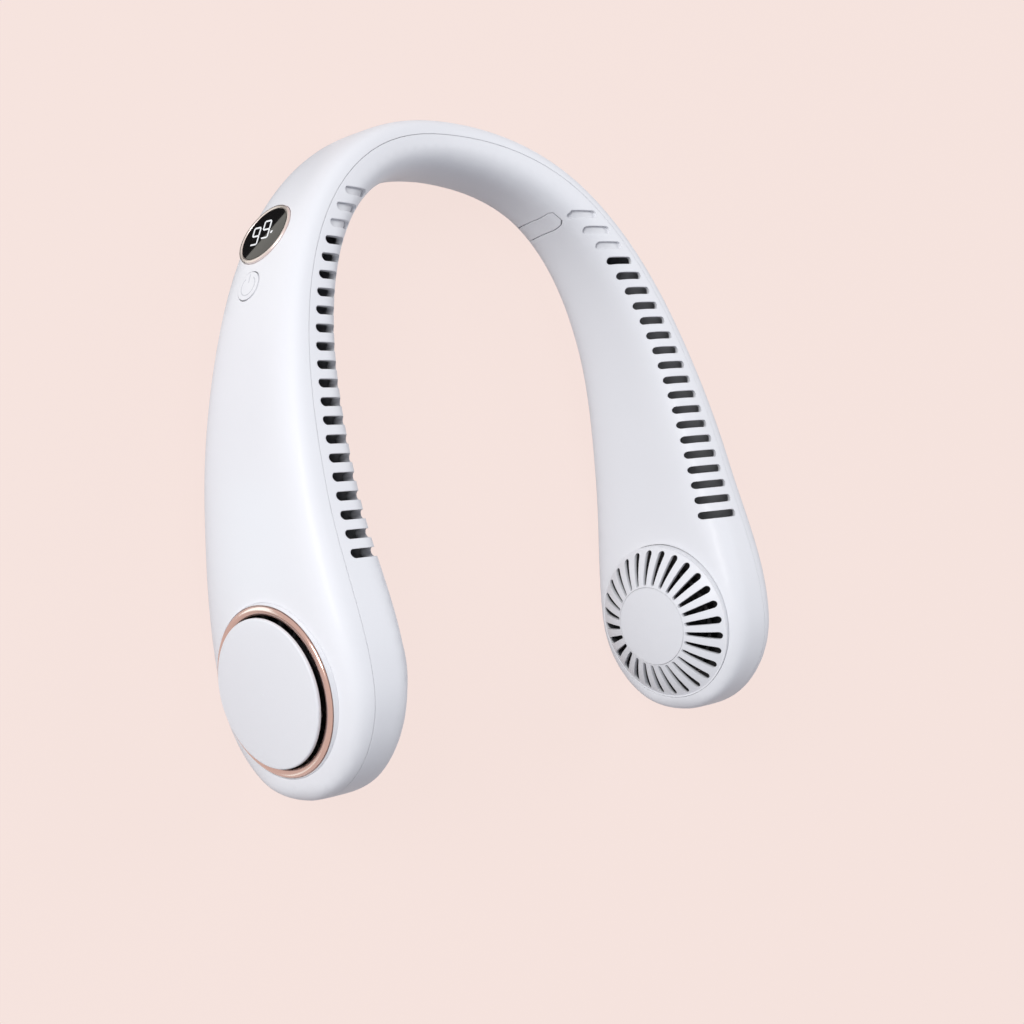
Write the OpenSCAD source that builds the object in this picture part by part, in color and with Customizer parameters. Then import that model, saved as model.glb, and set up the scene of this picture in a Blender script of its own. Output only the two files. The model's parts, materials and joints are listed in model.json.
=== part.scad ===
// Electric neck fan: a U-shaped moulded housing with a blower in each disc end.
// The fan lies on the edge that points down when it is worn, vents up, closed end at +Y.
// Left and right are as seen looking along +Y. Most pieces are drawn for the right arm and mirrored.

/* [Overall form] */
// From the line through the disc centres to the centreline at the back of the neck
neck_reach = 159.5; // [150:0.5:170]
// Between the centrelines of the two arms at the disc centres
disc_span = 169; // [160:0.5:180]
// Diameter of each disc end
disc_d = 62; // [61:0.5:66]
// Height of the housing at the back of the neck
neck_h = 27.5; // [26:0.5:31]
// Thickness of the housing at the back of the neck
neck_t = 17; // [16.5:0.5:20]
// Thickness of the housing through a disc centre
disc_t = 25; // [24.5:0.5:28]
// How far the underside of each arm arches up between neck and disc
arm_lift = 5.8; // [3:0.1:8]
// Wall of both casings
wall = 1.8; // [1.6:0.1:2]
// Tilt of both disc faces towards the tip, in degrees
face_tilt = 6.4; // [5:0.1:7]
// Rounding of both disc faces into the tip
tip_round = 5; // [3:0.5:5.5]
// Seam from the centreline at the back of the neck, outwards
seam_neck = 2.6; // [1:0.1:4]
// Seam from the centreline at the discs, outwards
seam_disc = 3.8; // [1:0.1:4.5]
// Gap between the casings along the seam
seam_gap = 0.1; // [0.1:0.05:0.4]

/* [Vents] */
// From the centreline at the back of the neck to the first vent, towards the discs
vent_start = 20.2; // [19:0.1:22]
// Spacing of the vents, which lie side by side
vent_pitch = 5.22; // [5.1:0.02:5.6]
// Width of a vent
vent_w = 2.5; // [2.2:0.1:3.2]
// How far each vent reaches outwards past the centreline
vent_over = 0.8; // [0.2:0.1:1.2]
// Least distance from the last vent to the line through the disc centres
vent_end = 33; // [31:0.5:36]
// Blind recesses at the neck end of each row
blind_count = 3; // [1:1:5]
// Depth of a blind recess
blind_depth = 1; // [0.7:0.1:1.1]

/* [Intake ring and cap] */
// Outer radius of the trim ring
ring_r = 24.2; // [23.5:0.1:24.6]
// Width of the ring's band
ring_w = 2.5; // [2:0.1:3]
// Height of the ring's crest above the disc face
ring_proud = 0.9; // [0.5:0.1:1.4]
// Depth of the ring below the disc face
ring_depth = 3.6; // [3.5:0.1:4]
// Radius of the cap
cap_r = 20.9; // [19.8:0.1:21]
// Height of the cap's upper edge above the disc face
cap_lift = 3; // [2.4:0.1:3.4]
// Rise of the cap's crown above its edge
cap_crown = 0.9; // [0.5:0.1:1.5]
// Thickness of the cap at its edge
cap_t = 1.6; // [1.2:0.1:1.9]
// Radius of the circle of the cap's three posts
post_circle = 14; // [13:0.5:15]

/* [Grille] */
// Radius of the grille's rim
grille_r = 26.5; // [26:0.1:27]
// How far the rim lies below the middle of the disc face
grille_sink = 0.8; // [0.5:0.1:1.2]
// Rise of the dome from its rim to the hub cap's edge
grille_rise = 7.3; // [6.5:0.1:8]
// Thickness of the dome
grille_t = 1.3; // [1.2:0.1:1.6]
// Depth of the rim's skirt in its bore
skirt_depth = 2.6; // [2.2:0.1:3]
// Radius of the hub cap
hub_r = 13.4; // [13:0.1:14]
// Rise of the hub cap's crown
hub_crown = 0.9; // [0.5:0.1:1.4]
// Radial slots round the grille
slot_count = 28; // [20:1:30]
// Width of a slot at its outer end
slot_outer_w = 2.5; // [2:0.1:2.8]
// Width of a slot at its inner end
slot_inner_w = 1.2; // [0.8:0.1:1.4]
// From the rim to the slots
slot_rim = 1.3; // [1.2:0.1:2]
// From the hub cap to the slots
slot_hub = 0.6; // [0.5:0.1:1]

/* [Blower] */
// Outer radius of the impeller
fan_r = 19.8; // [19:0.1:20]
// Length of the blades along the axis
blade_h = 12.6; // [11.5:0.1:13.2]
// Radius of the blades' inner ends
blade_inner_r = 14.6; // [14:0.1:15.5]
// Thickness of a blade
blade_t = 0.7; // [0.5:0.1:0.9]
// Blades on an impeller
blade_count = 30; // [18:1:36]
// Outer radius of the impeller's hub cup
hub_cup_r = 11.3; // [11:0.1:12]
// Radius of the motor shaft
shaft_r = 0.75; // [0.6:0.05:0.9]
// Radial running clearance of the shaft in its bearing
shaft_gap = 0.03; // [0.02:0.01:0.05]
// Outer radius of the bearing
bearing_r = 2.1; // [1.9:0.1:2.3]
// Length of the bearing
bearing_len = 6; // [5:0.5:6.4]

/* [Display and button] */
// From the middle of the neck to the display, along the centreline
display_at = 79.3; // [77:0.1:81]
// Turn of the display round the section, in degrees
display_turn = -1.8; // [-4:0.1:-1]
// Outer radius of the display's trim ring
bezel_r = 10.2; // [9.4:0.1:10.4]
// Width of that ring
bezel_w = 1.5; // [0.8:0.1:1.8]
// From the middle of the neck to the power button, along the centreline
button_at = 95.5; // [94:0.1:99]
// Radius of the power button
button_r = 4.4; // [3.8:0.1:4.8]
// Travel of the power button
button_travel = 0.5; // [0.3:0.05:0.6]
// Height of the power button above the casing
button_proud = 0.15; // [0.1:0.05:0.5]

/* [Charging port] */
// From the middle of the neck to the middle of the port, along the centreline
port_at = 53; // [50:0.5:55]
// Turn of the port round the section, in degrees
port_turn = 188; // [184:1:194]
// Width of the flap along the arm
flap_w = 7; // [6:0.1:8]
// Thickness of the flap
flap_t = 0.9; // [0.7:0.1:1]
// Gap round the flap
flap_gap = 0.35; // [0.3:0.05:0.4]
// Width of the socket's shell
socket_w = 8.94; // [8.6:0.02:9.2]
// Height of the socket's shell
socket_h = 3.26; // [3:0.02:3.5]
// Depth of the socket's shell
socket_depth = 7.3; // [6.5:0.1:7.5]

/* [Battery and boards] */
// Length of each cell
cell_len = 36; // [32:1:38]
// Height of each cell
cell_h = 16; // [13:0.5:16.5]
// Thickness of each cell
cell_t = 7; // [6:0.1:7.2]
// From the middle of the neck to the middle of each cell
cell_at = 29.5; // [29:0.5:31]
// From the middle of the neck to the bulkhead that ends the air duct
bulkhead_at = 66; // [64.5:0.5:67]
// Thickness of the bulkhead
bulkhead_t = 1.5; // [1:0.1:2]
// Length of the main board along the neck
board_len = 14; // [12:0.5:16]
// Height of the main board
board_h = 17; // [14:0.5:18]
// Thickness of every board
board_t = 1; // [0.8:0.1:1.2]

/* [Hidden] */
$fn = 64;
// Overrun of every cut
over = 1;
// Clearance of a piece that is pushed into its seat
seat_gap = 0.1;
// Clearance between pieces that move apart
move_gap = 0.3;
disc_r = disc_d / 2;
half_span = disc_span / 2;

// Centreline: a quartic curve from the back of the neck to the disc centre, then straight on
neck_pull_share = 0.57;
shoulder_shares = [1.16, 0.82];
arm_pull_share = 0.18;
curve = [[0, neck_reach],
         [neck_pull_share * half_span, neck_reach],
         [shoulder_shares.x * half_span, shoulder_shares.y * neck_reach],
         [half_span, arm_pull_share * neck_reach],
         [half_span, 0]];
curve_steps = 96;
quartic = [1, 4, 6, 4, 1];
cubic = [1, 3, 3, 1];
legs = [for (k = [0 : 3]) curve[k + 1] - curve[k]];
function blend(factors, points, t, k = 0) = let(last = len(points) - 1)
    factors[k] * pow(1 - t, last - k) * pow(t, k) * points[k]
    + (k == last ? [0, 0] : blend(factors, points, t, k + 1));
path = [for (i = [0 : curve_steps]) blend(quartic, curve, i / curve_steps)];
path_len = [for (i = 0, s = 0; i <= curve_steps;
                 i = i + 1, s = s + (i <= curve_steps ? norm(path[i] - path[i - 1]) : 0)) s];
arm_len = path_len[curve_steps];
step_of = [for (i = [0 : curve_steps]) [path_len[i], i]];
function path_at(l) = let(u = lookup(l, step_of), i = min(floor(u), curve_steps - 1))
    path[i] + (u - i) * (path[i + 1] - path[i]);
function dir_at(l) = let(v = blend(cubic, legs, lookup(l, step_of) / curve_steps)) v / norm(v);
function spot(l) = path_at(min(l, arm_len)) + max(l - arm_len, 0) * dir_at(arm_len);

// The origin is under the middle of the housing
back_y = neck_reach + neck_t / 2;
disc_y = -(back_y - disc_r) / 2;
// Point at distance l along the U, n outwards from the centreline and z up; l is negative on the left
function place(l, n, z) = let(a = abs(l), s = l < 0 ? -1 : 1, p = spot(a), d = dir_at(a))
    [s * (p.x - d.y * n), p.y + d.x * n + disc_y, z];

// Smooth run through evenly spaced values, with the slopes m0 and m1 at its ends
function smooth(v, m0, m1, s) = let(
    c = len(v) - 1,
    x = min(max(s, 0), 1) * c,
    i = min(floor(x), c - 1),
    u = x - i,
    a = i == 0 ? m0 / c : (v[i + 1] - v[i - 1]) / 2,
    b = i == c - 1 ? m1 / c : (v[i + 2] - v[i]) / 2)
    (v[i] * (1 + 2 * u) + a * u) * pow(1 - u, 2) + (v[i + 1] * (3 - 2 * u) - b * (1 - u)) * u * u;
function mix(a, b, t) = a + (b - a) * t;

// Growth from the neck's sizes to the disc's, at each quarter of the arm
height_shares = [0, 0, 0.246, 0.636, 1];
thick_shares = [0, -0.06, 0.32, 0.91, 1];
lift_shares = [0, 1, 0.98, 0.41, 0];
function along(l) = min(l / arm_len, 1);
function half_h(l) = l < arm_len ? mix(neck_h, disc_d, smooth(height_shares, 0, 0, along(l))) / 2
    : sqrt(max(pow(disc_r, 2) - pow(l - arm_len, 2), 0));
function half_t(l) = let(fall = tan(face_tilt))
    smooth([for (s = thick_shares) mix(neck_t, disc_t, s) / 2], 0, -fall * arm_len, along(l))
    - fall * max(l - arm_len, 0);
// How much thinner the tip's rounding leaves a skin that lies inset below the surface
function tip_fall(l, inset) = let(
    r = tip_round - inset,
    u = min(max((l - arm_len - disc_r + tip_round) / r, 0), 1))
    r * (1 - sqrt(1 - u * u));
function mid_z(l) = half_h(min(l, arm_len)) + arm_lift * smooth(lift_shares, 0, 0, along(l));

// The section is a superellipse, squarer on the outer side and at the discs
function outer_power(l) = mix(4, 4.2, along(l));
function inner_power(l) = mix(2.2, 5, along(l));
function seam_n(l) = mix(seam_neck, seam_disc, along(l));
// Section point at an angle: 0 outwards, 90 up, 180 to the neck
function section(l, h, t, a) = let(c = cos(a), s = sin(a), m = c >= 0 ? outer_power(l) : inner_power(l))
    [sign(c) * t * pow(abs(c), 2 / m), mid_z(l) + h * sign(s) * pow(abs(s), 2 / m)];
function seam_angle(l, t, n) = acos(pow(n / t, outer_power(l) / 2));
function skin_2d(l, a, inset = 0) = section(l, half_h(l) - inset, half_t(l) - inset, a);
function skin(l, a, inset = 0) = let(p = skin_2d(l, a, inset)) place(l, p.x, p.y);

// Rings of points along the whole U, from the left tip to the right tip
arm_rings = 40;
tip_turns = [12, 24, 35, 45, 54, 62, 69, 75, 80, 84, 87];
rings_right = concat([for (i = [0 : arm_rings]) [arm_len * i / arm_rings, 0]],
                     [for (a = tip_turns) [arm_len, a]]);
rings = concat([for (i = [len(rings_right) - 1 : -1 : 1]) [-1, rings_right[i]]],
               [for (r = rings_right) [1, r]]);
// A ring's points on the surface taken in by inset; each angle is a pair: fixed part, share of the seam angle
function ring_points(ring, inset, angles, seam_side) = let(
    turn = ring[1][1],
    r = disc_r - inset,
    l = ring[1][0] + r * sin(turn),
    h = turn > 0 ? r * cos(turn) : half_h(l) - inset,
    t = half_t(l) - inset - tip_fall(l, inset),
    e = seam_angle(l, t, seam_n(l) + seam_side * seam_gap / 2))
    [for (f = angles) let(p = section(l, h, t, f[0] + f[1] * e)) place(ring[0] * l, p.x, p.y)];
function flipped(v) = [for (i = [len(v) - 1 : -1 : 0]) v[i]];
function quad(p, q, r, s) = [[p, q, r], [p, r, s]];

// One half of the housing: an outer skin and a cavity skin, joined along the seam
module casing_shell(skin_angles, cavity_angles, seam_side) {
    a = len(skin_angles);
    k = a + len(cavity_angles);
    last = (len(rings) - 1) * k;
    points = [for (r = rings) each concat(ring_points(r, 0, skin_angles, seam_side),
                                          ring_points(r, wall, flipped(cavity_angles), seam_side))];
    sides = [for (i = [0 : k : last - k], j = [0 : k - 1]) let(m = (j + 1) % k)
        each quad(i + j, i + m, i + k + m, i + k + j)];
    left_tip = concat([[for (j = [a - 1 : -1 : 0]) j], [for (j = [k - 1 : -1 : a]) j]],
                      quad(0, k - 1, a, a - 1));
    right_tip = [for (f = left_tip) [for (j = flipped(f)) last + j]];
    polyhedron(points = points, faces = concat(sides, left_tip, right_tip));
}
skin_steps = 16;
cavity_steps = 8;
function outer_angles(steps) = [for (j = [0 : steps]) [0, 1 - 2 * j / steps]];
function inner_angles(steps) = concat([[360, -1]], [for (j = [0 : steps]) [270 - 180 * j / steps, 0]],
                                      [[0, 1]]);

// Places on the right arm, mirrored to the left for side -1
module on_side(side) {
    if (side < 0) mirror([1, 0, 0]) children();
    else children();
}
// z runs out of the outer disc face
module outer_face(side) on_side(side) translate([half_span + disc_t / 2, disc_y, disc_r])
    rotate([0, 0, -face_tilt]) rotate([0, 90, 0]) children();
// z runs along the blower's axis, from the disc face on the neck side into the housing
module fan_axis(side) on_side(side) translate([half_span - disc_t / 2, disc_y, disc_r])
    rotate([0, 0, face_tilt]) rotate([0, 90, 0]) children();
// x runs along the arm and z out of the housing, at distance l and angle a round the section
module on_skin(side, l, a) on_side(side) {
    probe = arm_len / 1000;
    p = skin(l, a);
    x = skin(l + probe, a) - skin(l - probe, a);
    s = skin(l, a + 1) - skin(l, a - 1);
    ux = x / norm(x);
    out = cross(s, ux);
    uz = out / norm(out);
    uy = cross(uz, ux);
    multmatrix([for (i = [0 : 2]) [ux[i], uy[i], uz[i], p[i]]]) children();
}
// x runs along the arm, y outwards and z up, on the centreline at distance l
module on_path(side, l) on_side(side) {
    p = place(l, 0, mid_z(l));
    d = dir_at(l);
    multmatrix([[d.x, -d.y, 0, p.x], [d.y, d.x, 0, p.y], [0, 0, 1, p.z]]) children();
}
module tube(r_out, r_in, h) difference() {
    cylinder(r = r_out, h = h);
    translate([0, 0, -over]) cylinder(r = r_in, h = h + 2 * over);
}
module stadium(len, w, h) linear_extrude(h) {
    square([len - w, w], center = true);
    for (s = [-1, 1]) translate([s * (len - w) / 2, 0]) circle(d = w);
}
module rounded_slab(x, y, r, h) linear_extrude(h) {
    square([x - 2 * r, y], center = true);
    square([x, y - 2 * r], center = true);
    for (i = [-1, 1], j = [-1, 1]) translate([i * (x / 2 - r), j * (y / 2 - r)]) circle(r);
}

// Closed sheet between two grids of points over the skin, rows round the section and columns along the arm
module sheet(top, bottom) {
    c = len(top) - 1;
    w = len(top[0]) - 1;
    loop = 2 * (w + 1);
    points = [for (i = [0 : c]) each concat(top[i], flipped(bottom[i]))];
    sides = [for (i = [0 : c - 1], j = [0 : loop - 1]) let(m = (j + 1) % loop)
        each quad(i * loop + j, i * loop + m, (i + 1) * loop + m, (i + 1) * loop + j)];
    start = [for (j = [0 : w - 1]) each quad(loop - 1 - j, loop - 2 - j, j + 1, j)];
    end = [for (f = start) [for (j = flipped(f)) c * loop + j]];
    polyhedron(points = points, faces = concat(sides, start, end));
}

// Vents: parallel slots from the top of the section round to the neck side, longer towards the disc
vent_count = floor((neck_reach - vent_start - vent_end) / vent_pitch) + 1;
vent_turns = [41, 45.5, 56.5];
function vent_turn(k) = let(t = k / (vent_count - 1))
    vent_turns[0] * (1 - t) * (1 - 2 * t) + vent_turns[1] * 4 * t * (1 - t) + vent_turns[2] * t * (2 * t - 1);
len_at = [for (i = [0 : curve_steps]) [-path[i].y, path_len[i]]];
// Distance along the centreline at which the skin at angle a lies y from the disc centres, closing in on it
function len_to(y, a, l, tries = 4) = tries == 0 ? l
    : len_to(y, a, lookup(dir_at(l).x * skin_2d(l, a).x - y, len_at), tries - 1);
module vent_cut(side, k) on_side(side) {
    y = neck_reach - vent_start - k * vent_pitch;
    near = lookup(-y, len_at);
    angles = [seam_angle(near, half_t(near), vent_over), 90 + vent_turn(k) / 2, 90 + vent_turn(k)];
    points = [for (a = angles) skin(len_to(y, a, near), a)];
    across = [points[2].x - points[0].x, 0, points[2].z - points[0].z];
    span = norm(across);
    mid = (points[0] + points[2]) / 2;
    bulge = norm(points[1] - mid);
    ux = across / span;
    uy = [0, -1, 0];
    uz = cross(ux, uy);
    intersection() {
        multmatrix([for (i = [0 : 2]) [ux[i], uy[i], uz[i], mid[i]]])
            translate([0, 0, -2 * wall - over]) stadium(span, vent_w, 3 * wall + bulge + 2 * over);
        if (k < blind_count) blind_patch(near, angles);
    }
}
// The skin round a blind recess, from outside down to its floor
blind_steps = [12, 6];
blind_margin = 8;
module blind_patch(l, angles) {
    function spots(inset) = [for (i = [0 : blind_steps[0]]) [for (j = [0 : blind_steps[1]])
        skin(l + 3 * vent_w * (2 * j / blind_steps[1] - 1),
             mix(angles[0] - blind_margin, angles[2] + blind_margin, i / blind_steps[0]), inset)]];
    sheet(spots(-over), spots(blind_depth));
}

// Flap outline on the skin: along t from 0 to 1 the strip leans towards the disc and has rounded ends
flap_turns = [150, 228];
flap_lean = 2.4;
flap_steps = [12, 4];
// Squareness of the flap's ends, and how far along its half length they are cut off
flap_power = 5;
flap_end_share = 0.985;
function flap_half(t) = let(u = pow(abs(flap_end_share * (2 * t - 1)), flap_power))
    flap_w / 2 * pow(1 - u, 1 / flap_power);
function flap_mid(t) = port_at + flap_lean * (2 * t - 1);
module flap_patch(grow, top, bottom) {
    wide = 2 * grow / neck_h * 180 / PI;
    function spots(inset) = [for (i = [0 : flap_steps[0]]) let(t = i / flap_steps[0])
        [for (j = [0 : flap_steps[1]])
            skin(flap_mid(t) + (2 * j / flap_steps[1] - 1) * (flap_half(t) + grow),
                 mix(flap_turns[0] - wide, flap_turns[1] + wide, t), inset)]];
    sheet(spots(top), spots(bottom));
}

// Casings
white = [0.95, 0.95, 0.97];
board_green = [0.1, 0.4, 0.25];
button_turn = -1.9;
flange_w = 0.9;
flange_r = button_r + flange_w;
flange_t = 0.7;
button_bore_r = button_r + move_gap;
ring_groove = 0.25;
board_post_r = 1.2;
switch_h = 2;
switch_board_size = [13, 10];
module outer_casing() color(white) {
    difference() {
        casing_shell(outer_angles(skin_steps), outer_angles(cavity_steps), 1);
        for (side = [-1, 1]) outer_face(side) translate([0, 0, -ring_depth - over])
            cylinder(r = ring_r + ring_groove, h = ring_depth + 2 * over);
        at_display() translate([0, 0, -2 * wall])
            cylinder(r = bezel_r + seat_gap, h = 2 * wall + over);
        at_button() translate([0, 0, -wall - over]) cylinder(r = button_bore_r, h = wall + 2 * over);
    }
    // posts that carry the main board
    at_board() for (i = [-1, 1], j = [-1, 1])
        translate([i * (board_len / 2 - 2 * board_post_r), j * (board_h / 2 - 2 * board_post_r), 0])
            mirror([0, 0, 1]) cylinder(r = board_post_r, h = board_back + wall / 2);
}
module inner_casing() color(white) difference() {
    casing_shell(inner_angles(skin_steps), inner_angles(cavity_steps), -1);
    for (side = [-1, 1]) {
        for (k = [0 : vent_count - 1]) vent_cut(side, k);
        fan_axis(side) translate([0, 0, -over])
            cylinder(r = grille_r + seat_gap, h = grille_sink + skirt_depth + 3 * wall);
    }
    flap_patch(flap_gap, -over, flap_t + flap_gap);
    on_skin(1, port_at, port_turn) translate([0, 0, -wall - 2 * over]) rotate([0, 0, 90])
        stadium(socket_w + 4 * seat_gap, socket_h + 4 * seat_gap, wall + 3 * over);
}

// Intake ring, cap and screen on the outer face of a disc
rose_gold = [0.85, 0.6, 0.52];
black = [0.05, 0.05, 0.06];
arc_steps = 12;
module intake_ring(side) color(rose_gold) outer_face(side) rotate_extrude()
    polygon(concat([[ring_r - ring_w, -ring_depth], [ring_r, -ring_depth]],
        [for (i = [0 : arc_steps]) let(a = 180 * i / arc_steps)
            [ring_r - ring_w / 2 * (1 - cos(a)), ring_proud * sin(a)]]));
screen_t = 1.2;
post_r = 1.6;
screen_bars = 18;
screen_bar_w = 1;
module intake_screen(side) color(black) outer_face(side) translate([0, 0, -ring_depth - screen_t]) {
    tube(ring_r, ring_r - ring_w, screen_t);
    tube(post_circle + post_r, post_circle - post_r, screen_t);
    for (i = [0 : screen_bars - 1]) rotate(360 * i / screen_bars)
        translate([post_circle, -screen_bar_w / 2, 0])
            cube([ring_r - ring_w / 2 - post_circle, screen_bar_w, screen_t]);
}
edge_round = cap_t / 3;
edge_steps = 6;
cap_dome_r = (pow(cap_r, 2) + pow(cap_crown, 2)) / (2 * cap_crown);
module intake_cap(side) color(white) outer_face(side) {
    rotate_extrude() polygon(concat(
        [[0, cap_lift - cap_t]],
        [[cap_r - edge_round, cap_lift - cap_t], [cap_r, cap_lift - cap_t + edge_round]],
        [for (i = [0 : edge_steps]) let(a = 90 * i / edge_steps)
            [cap_r - edge_round * (1 - cos(a)), cap_lift - edge_round * (1 - sin(a))]],
        [for (i = [1 : arc_steps]) let(r = (cap_r - edge_round) * (1 - i / arc_steps))
            [r, cap_lift + sqrt(pow(cap_dome_r, 2) - r * r) - cap_dome_r + cap_crown]]));
    for (i = [0 : 2]) rotate(120 * i + 90) translate([post_circle, 0, -ring_depth])
        cylinder(r = post_r, h = ring_depth + cap_lift - cap_t / 2);
}

// Grille on the neck side: a dome of sphere radius dome_r with tapered radial slots
dome_c = (pow(grille_r, 2) - pow(hub_r, 2) - pow(grille_rise, 2)) / (2 * grille_rise);
dome_r = sqrt(pow(grille_r, 2) + pow(dome_c, 2));
slot_inner_r = hub_r + slot_hub;
slot_outer_r = grille_r - slot_rim;
hub_seat = 1.2;
hub_floor = grille_sink - grille_rise + hub_seat;
plate_t = 1.6;
module slot_cut() linear_extrude(grille_rise + 2 * over, convexity = 2) {
    a = slot_inner_r + slot_inner_w / 2;
    b = slot_outer_r - slot_outer_w / 2;
    translate([a, 0]) circle(d = slot_inner_w);
    translate([b, 0]) circle(d = slot_outer_w);
    polygon([[a, -slot_inner_w / 2], [b, -slot_outer_w / 2], [b, slot_outer_w / 2], [a, slot_inner_w / 2]]);
}
module grille(side) color(white) fan_axis(side) {
    difference() {
        intersection() {
            translate([0, 0, grille_sink + dome_c]) sphere(dome_r);
            translate([0, 0, grille_sink + dome_c - dome_r - over])
                cylinder(r = grille_r, h = dome_r - dome_c + over);
        }
        translate([0, 0, grille_sink + dome_c]) sphere(dome_r - grille_t);
        translate([0, 0, grille_sink + dome_c - dome_r - over])
            cylinder(r = hub_r + seat_gap, h = dome_r);
        translate([0, 0, grille_sink - grille_rise - over])
            for (i = [0 : slot_count - 1]) rotate(360 * i / slot_count) slot_cut();
    }
    translate([0, 0, grille_sink - grille_t / 3])
        tube(grille_r, grille_r - grille_t, skirt_depth + grille_t / 3);
    difference() {
        translate([0, 0, hub_floor]) cylinder(r = slot_inner_r, h = plate_t);
        screw_places() translate([0, 0, hub_floor + plate_t - screw_bite - seat_gap])
            cylinder(r = screw_r, h = plate_t);
    }
}
hub_dome_r = (pow(hub_r, 2) + pow(hub_crown, 2)) / (2 * hub_crown);
module grille_hub_cap(side) color(white) fan_axis(side) rotate_extrude() polygon(concat(
    [[0, hub_floor], [hub_r, hub_floor]],
    [for (i = [0 : arc_steps]) let(r = hub_r * (1 - i / arc_steps))
        [r, hub_floor - hub_seat - sqrt(pow(hub_dome_r, 2) - r * r) + hub_dome_r - hub_crown]]));

// Motor and impeller; depths are along the blower's axis
base_t = 1.4;
base_top = hub_floor + plate_t + base_t;
base_r = 11.5;
screw_circle = 9;
screw_r = 0.7;
screw_bite = 1;
screw_head_r = 1.4;
screw_head_h = 0.8;
tube_wall = 0.9;
bearing_start = base_top + 2 * base_t;
bearing_end = bearing_start + bearing_len;
stator_h = 5;
stator_start = bearing_start - base_t / 4;
magnet_t = 1;
cup_wall = 1.2;
magnet_r = hub_cup_r - cup_wall;
air_gap = 0.5;
stator_r = magnet_r - magnet_t - air_gap;
cup_start = base_top + base_t;
cup_top = bearing_end + move_gap + cup_wall;
fan_start = base_top + 2 * base_t;
coil_count = 9;
module screw_places() for (i = [0 : 2]) rotate(120 * i) translate([screw_circle, 0, 0]) children();
module motor_base(side) color("silver") fan_axis(side) {
    difference() {
        translate([0, 0, base_top - base_t]) cylinder(r = base_r, h = base_t);
        screw_places() translate([0, 0, base_top - base_t - over])
            cylinder(r = screw_r + seat_gap, h = base_t + 2 * over);
    }
    translate([0, 0, base_top - base_t / 2])
        tube(bearing_r + tube_wall, bearing_r, bearing_end - base_top + base_t / 2);
}
module motor_screws(side) color("silver") fan_axis(side) screw_places() {
    translate([0, 0, base_top]) cylinder(r = screw_head_r, h = screw_head_h);
    translate([0, 0, base_top - base_t - screw_bite])
        cylinder(r = screw_r, h = base_t + screw_bite + screw_head_h / 2);
}
module bearing(side) color("goldenrod") fan_axis(side) translate([0, 0, bearing_start])
    tube(bearing_r, shaft_r + shaft_gap, bearing_len);
tooth_w = 1.5;
core_r = bearing_r + tube_wall + tooth_w;
shoe_w = 3 * tooth_w;
module stator_2d() difference() {
    intersection() {
        circle(stator_r);
        union() {
            circle(core_r);
            for (i = [0 : coil_count - 1]) rotate(360 * i / coil_count) {
                translate([0, -tooth_w / 2]) square([stator_r + over, tooth_w]);
                translate([stator_r - tooth_w / 2, -shoe_w / 2]) square([tooth_w, shoe_w]);
            }
        }
    }
    circle(bearing_r + tube_wall);
}
module stator_core(side) color("dimgray") fan_axis(side) translate([0, 0, stator_start])
    linear_extrude(stator_h) stator_2d();
coil_t = 0.7;
module stator_coils(side) color("chocolate") fan_axis(side) translate([0, 0, stator_start])
    for (i = [0 : coil_count - 1]) rotate(360 * i / coil_count)
        translate([core_r + coil_t, 0, 0]) difference() {
            translate([0, -tooth_w / 2 - coil_t, -coil_t])
                cube([tooth_w, tooth_w + 2 * coil_t, stator_h + 2 * coil_t]);
            translate([-over, -tooth_w / 2, 0]) cube([tooth_w + 2 * over, tooth_w, stator_h]);
        }
module rotor_magnet(side) color("gray") fan_axis(side) translate([0, 0, cup_start])
    tube(magnet_r, magnet_r - magnet_t, stator_h + base_t);
nose_h = 1.4;
shaft_end = cup_top + nose_h;
module motor_shaft(side) color("lightgray") fan_axis(side) translate([0, 0, bearing_start - base_t / 2])
    cylinder(r = shaft_r, h = shaft_end - bearing_start + base_t / 2);
hoop_w = 1.2;
hoop_t = 0.8;
blade_curve_r = 4.6;
module blade_2d() intersection() {
    difference() {
        circle(fan_r - hoop_w / 4);
        circle(blade_inner_r);
    }
    translate([blade_inner_r + blade_t, -blade_curve_r + blade_t]) difference() {
        circle(blade_curve_r);
        circle(blade_curve_r - blade_t);
    }
    translate([blade_inner_r - over, -blade_t]) square([fan_r, fan_r]);
}
module impeller(side) color(black) fan_axis(side) {
    // hub cup round the motor, pressed on the shaft
    difference() {
        translate([0, 0, cup_start]) cylinder(r = hub_cup_r, h = cup_top - cup_start);
        translate([0, 0, cup_start - over]) cylinder(r = magnet_r, h = cup_top - cup_wall - cup_start + over);
        translate([0, 0, cup_top - 2 * cup_wall]) cylinder(r = shaft_r, h = 3 * cup_wall);
    }
    translate([0, 0, cup_top - cup_wall / 2]) tube(bearing_r, shaft_r, shaft_end - cup_top + cup_wall / 2);
    // web, end hoops and blades
    translate([0, 0, cup_top - cup_wall]) tube(fan_r, magnet_r + cup_wall / 2, cup_wall);
    for (z = [fan_start, fan_start + blade_h - hoop_t]) translate([0, 0, z])
        tube(fan_r, fan_r - hoop_w, hoop_t);
    for (i = [0 : blade_count - 1]) rotate(360 * i / blade_count) translate([0, 0, fan_start])
        linear_extrude(blade_h) blade_2d();
}

// Blower housing: a spiral wall between two plates, each with a round inlet, open towards the arm
scroll_gap = 1.4;
scroll_t = 1.2;
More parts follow.
